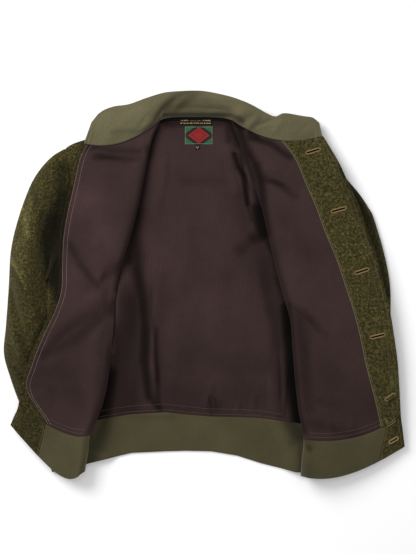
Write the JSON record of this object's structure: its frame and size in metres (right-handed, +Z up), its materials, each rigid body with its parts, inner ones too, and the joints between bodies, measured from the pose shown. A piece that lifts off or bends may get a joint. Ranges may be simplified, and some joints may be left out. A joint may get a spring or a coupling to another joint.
{
  "type": "wool jacket with knit collar and hem, laid open",
  "caption": "Waist-length olive wool jacket laid on its back, both fronts swung open over the sleeves, with a knit collar, knit hem, dark lining and buttonholes.",
  "frame": {"origin": "on the surface the jacket lies on, under the middle of its bounding box", "axes": "+Z up from the surface, +Y from the hem towards the collar, +X from the wearer's right to the left"},
  "size_m": [0.7393, 0.7103, 0.0408],
  "materials": {
    "wool": "olive melange wool, brushed",
    "lining": "dark brown woven lining",
    "rib": "olive rib knit",
    "collar_rib": "khaki rib knit",
    "label": null,
    "label_strip": "black woven tape with plain tan marks",
    "button": "dark brown, polished"
  },
  "bodies": {
    "root": {"back_shell": "wool", "back_lining": "lining", "right_front_shell": "wool", "right_front_lining": "lining", "left_front_shell": "wool", "left_front_lining": "lining", "left_front_facing": "wool", "hem_rib_back": "rib", "hem_rib_right": "rib", "hem_rib_left": "rib", "hem_tab_right": "wool", "hem_tab_left": "wool", "right_sleeve": "wool", "left_sleeve": "wool", "right_cuff": "rib", "left_cuff": "rib", "collar": "collar_rib", "label_main": "label", "label_strip": "label_strip", "label_size": "label_strip", "button_1": "button", "button_2": "button", "button_3": "button", "button_4": "button", "button_5": "button", "button_6": "button"}
  },
  "joints": []
}
